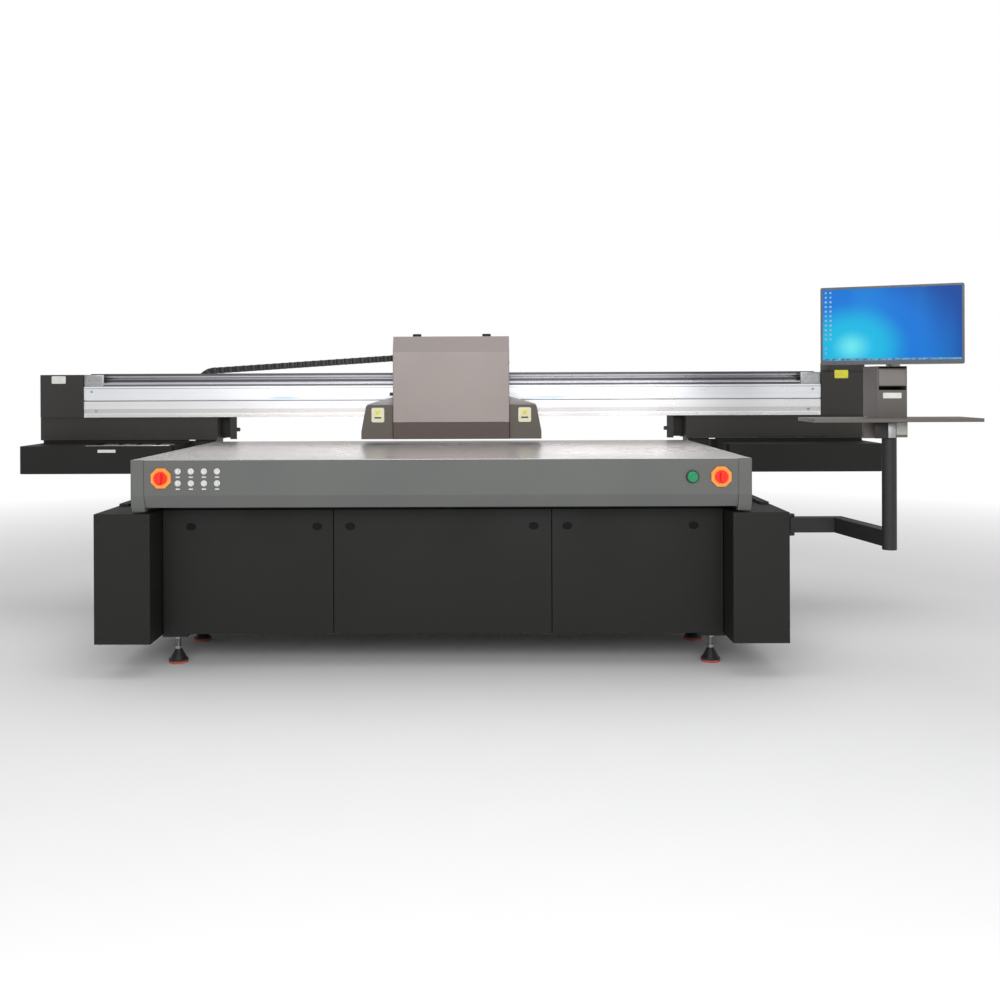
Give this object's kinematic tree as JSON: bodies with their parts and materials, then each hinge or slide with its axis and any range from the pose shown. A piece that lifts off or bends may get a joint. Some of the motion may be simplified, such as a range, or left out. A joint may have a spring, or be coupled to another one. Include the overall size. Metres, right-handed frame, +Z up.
{
  "type": "flatbed UV printer",
  "caption": "Wide flatbed UV printer: fixed vacuum table on a cabinet base, sliding gantry with a lifting print head unit, and a swing-arm console with shelf and monitor.",
  "frame": {"origin": "on the floor under the middle of the whole machine", "axes": "+X to the operator's right along the gantry, +Y away from the operator, +Z up"},
  "size_m": [4.674, 2.1625, 1.6585],
  "materials": {
    "frame_black": "satin powder coat",
    "sole_rubber": "moulded rubber",
    "pad_black": "satin",
    "zinc_steel": "zinc plated",
    "charcoal_paint": "fine texture powder coat",
    "rail_steel": "ground steel",
    "magnet_steel": "dark cover over steel",
    "table_aluminium": "anodised",
    "panel_grey": "fine texture powder coat",
    "switch_yellow": "moulded",
    "cast_aluminium": "machined",
    "cabinet_grey": "textured powder coat",
    "beam_aluminium": "extruded, clear anodised",
    "gantry_paint": "fine texture powder coat",
    "stainless": "brushed stainless",
    "chain_plastic": "moulded nylon",
    "cover_taupe": "metallic powder coat",
    "band_dark": "satin",
    "lamp_grey": "satin",
    "shelf_grey": "fine texture powder coat",
    "monitor_plastic": "moulded",
    "screen_glow": "lit display",
    "switch_red": "moulded",
    "button_green": "moulded lens",
    "lock_black": "moulded",
    "knob_white": "moulded"
  },
  "bodies": {
    "base": {"base_frame": "frame_black", "foot_soles": "sole_rubber", "foot_pads": "pad_black", "foot_studs": "zinc_steel", "side_casings": "charcoal_paint", "y_rails": "rail_steel", "y_magnet_tracks": "magnet_steel", "vacuum_table": "table_aluminium", "table_front_panel": "panel_grey", "table_skirts": "panel_grey", "switch_plates": "switch_yellow", "rear_panels": "charcoal_paint", "vacuum_blower": "cast_aluminium", "electrical_cabinet": "cabinet_grey", "arm_bracket": "frame_black"},
    "gantry": {"gantry_beam": "beam_aluminium", "x_rails": "rail_steel", "x_magnet_track": "magnet_steel", "gantry_end_covers": "gantry_paint", "beam_housings": "gantry_paint", "y_bearing_blocks": "rail_steel", "saddles": "frame_black", "station_boxes": "gantry_paint", "sensor_brackets": "zinc_steel", "chain_tray": "zinc_steel"},
    "capping_station": {"capping_station": "stainless"},
    "chain_loop": {"chain_loop": "chain_plastic"},
    "carriage": {"carriage_plate": "cast_aluminium", "x_bearing_blocks": "rail_steel", "chain_upper_run": "chain_plastic"},
    "head_unit": {"head_chassis": "cast_aluminium", "head_cover": "cover_taupe", "head_band": "band_dark", "lamp_housings": "lamp_grey"},
    "console_arm": {"console_arm": "frame_black"},
    "console_desk": {"console_shelf": "shelf_grey", "console_box": "shelf_grey"},
    "monitor_bracket": {"monitor_bracket": "zinc_steel"},
    "monitor": {"monitor_shell": "monitor_plastic", "monitor_screen": "screen_glow"},
    "left_main_switch": {"left_main_switch": "switch_red"},
    "right_main_switch": {"right_main_switch": "switch_red"},
    "start_button": {"start_button": "button_green"},
    "left_door": {"left_door": "charcoal_paint"},
    "left_door_lock_a": {"left_door_lock_a": "lock_black"},
    "left_door_lock_b": {"left_door_lock_b": "lock_black"},
    "middle_door": {"middle_door": "charcoal_paint"},
    "middle_door_lock_a": {"middle_door_lock_a": "lock_black"},
    "middle_door_lock_b": {"middle_door_lock_b": "lock_black"},
    "right_door": {"right_door": "charcoal_paint"},
    "right_door_lock_a": {"right_door_lock_a": "lock_black"},
    "right_door_lock_b": {"right_door_lock_b": "lock_black"},
    "valve_knob_1": {"valve_knob_1": "knob_white"},
    "valve_knob_2": {"valve_knob_2": "knob_white"},
    "valve_knob_3": {"valve_knob_3": "knob_white"},
    "valve_knob_4": {"valve_knob_4": "knob_white"},
    "valve_knob_5": {"valve_knob_5": "knob_white"},
    "valve_knob_6": {"valve_knob_6": "knob_white"},
    "valve_knob_7": {"valve_knob_7": "knob_white"},
    "valve_knob_8": {"valve_knob_8": "knob_white"}
  },
  "joints": [
    {"name": "gantry_slide", "type": "slide", "parent": "base", "child": "gantry", "axis": [0, 1, 0], "range_m": [-1.22, 0]},
    {"name": "carriage_slide", "type": "slide", "parent": "gantry", "child": "carriage", "axis": [1, 0, 0], "range_m": [-1.57, 1.57], "deforming": ["chain_upper_run"]},
    {"name": "chain_loop_slide", "type": "slide", "parent": "gantry", "child": "chain_loop", "axis": [1, 0, 0], "range_m": [-0.785, 0.785]},
    {"name": "head_lift", "type": "slide", "parent": "carriage", "child": "head_unit", "axis": [0, 0, 1], "range_m": [0, 0.1]},
    {"name": "capping_lift", "type": "slide", "parent": "gantry", "child": "capping_station", "axis": [0, 0, 1], "range_m": [0, 0.02]},
    {"name": "arm_swing", "type": "hinge", "parent": "base", "child": "console_arm", "pos_m": [1.59, -0.418, 0.605], "axis": [0, 0, 1], "range_deg": [-30, 30]},
    {"name": "desk_swivel", "type": "hinge", "parent": "console_arm", "child": "console_desk", "pos_m": [1.888, -0.867, 1.06], "axis": [0, 0, 1], "range_deg": [-45, 45]},
    {"name": "monitor_swivel", "type": "hinge", "parent": "console_desk", "child": "monitor_bracket", "pos_m": [1.90649, -0.86331, 1.39], "axis": [0, 0, 1], "range_deg": [-30, 45]},
    {"name": "monitor_tilt", "type": "hinge", "parent": "monitor_bracket", "child": "monitor", "pos_m": [1.88367, -0.91225, 1.496], "axis": [0.9063, -0.4226, 0], "range_deg": [-15, 5]},
    {"name": "left_switch_turn", "type": "hinge", "parent": "base", "child": "left_main_switch", "pos_m": [-1.193, -0.818, 0.862], "axis": [0, 1, 0], "range_deg": [0, 90]},
    {"name": "right_switch_turn", "type": "hinge", "parent": "base", "child": "right_main_switch", "pos_m": [1.193, -0.818, 0.862], "axis": [0, 1, 0], "range_deg": [0, 90]},
    {"name": "start_press", "type": "slide", "parent": "base", "child": "start_button", "axis": [0, 1, 0], "range_m": [0, 0.005], "stiffness_N_per_m": 700},
    {"name": "valve_turn_1", "type": "hinge", "parent": "base", "child": "valve_knob_1", "pos_m": [-1.122, -0.818, 0.889], "axis": [0, 1, 0], "range_deg": [0, 90]},
    {"name": "valve_turn_2", "type": "hinge", "parent": "base", "child": "valve_knob_2", "pos_m": [-1.066, -0.818, 0.889], "axis": [0, 1, 0], "range_deg": [0, 90]},
    {"name": "valve_turn_3", "type": "hinge", "parent": "base", "child": "valve_knob_3", "pos_m": [-1.01, -0.818, 0.889], "axis": [0, 1, 0], "range_deg": [0, 90]},
    {"name": "valve_turn_4", "type": "hinge", "parent": "base", "child": "valve_knob_4", "pos_m": [-0.954, -0.818, 0.889], "axis": [0, 1, 0], "range_deg": [0, 90]},
    {"name": "valve_turn_5", "type": "hinge", "parent": "base", "child": "valve_knob_5", "pos_m": [-1.122, -0.818, 0.838], "axis": [0, 1, 0], "range_deg": [0, 90]},
    {"name": "valve_turn_6", "type": "hinge", "parent": "base", "child": "valve_knob_6", "pos_m": [-1.066, -0.818, 0.838], "axis": [0, 1, 0], "range_deg": [0, 90]},
    {"name": "valve_turn_7", "type": "hinge", "parent": "base", "child": "valve_knob_7", "pos_m": [-1.01, -0.818, 0.838], "axis": [0, 1, 0], "range_deg": [0, 90]},
    {"name": "valve_turn_8", "type": "hinge", "parent": "base", "child": "valve_knob_8", "pos_m": [-0.954, -0.818, 0.838], "axis": [0, 1, 0], "range_deg": [0, 90]},
    {"name": "left_door_drop", "type": "hinge", "parent": "base", "child": "left_door", "pos_m": [-0.86225, -0.628, 0.165], "axis": [1, 0, 0], "range_deg": [0, 90]},
    {"name": "left_door_lock_a_turn", "type": "hinge", "parent": "left_door", "child": "left_door_lock_a", "pos_m": [-1.114, -0.638, 0.631], "axis": [0, 1, 0], "range_deg": [-90, 0]},
    {"name": "left_door_lock_b_turn", "type": "hinge", "parent": "left_door", "child": "left_door_lock_b", "pos_m": [-0.555, -0.638, 0.631], "axis": [0, 1, 0], "range_deg": [-90, 0]},
    {"name": "middle_door_drop", "type": "hinge", "parent": "base", "child": "middle_door", "pos_m": [0, -0.628, 0.165], "axis": [1, 0, 0], "range_deg": [0, 90]},
    {"name": "middle_door_lock_a_turn", "type": "hinge", "parent": "middle_door", "child": "middle_door_lock_a", "pos_m": [-0.409, -0.638, 0.631], "axis": [0, 1, 0], "range_deg": [-90, 0]},
    {"name": "middle_door_lock_b_turn", "type": "hinge", "parent": "middle_door", "child": "middle_door_lock_b", "pos_m": [0.403, -0.638, 0.631], "axis": [0, 1, 0], "range_deg": [-90, 0]},
    {"name": "right_door_drop", "type": "hinge", "parent": "base", "child": "right_door", "pos_m": [0.86225, -0.628, 0.165], "axis": [1, 0, 0], "range_deg": [0, 90]},
    {"name": "right_door_lock_a_turn", "type": "hinge", "parent": "right_door", "child": "right_door_lock_a", "pos_m": [0.552, -0.638, 0.631], "axis": [0, 1, 0], "range_deg": [-90, 0]},
    {"name": "right_door_lock_b_turn", "type": "hinge", "parent": "right_door", "child": "right_door_lock_b", "pos_m": [1.11, -0.638, 0.631], "axis": [0, 1, 0], "range_deg": [-90, 0]}
  ],
  "couplings": [
    {"joint": "chain_loop_slide", "follows": "carriage_slide", "ratio": 0.5}
  ]
}
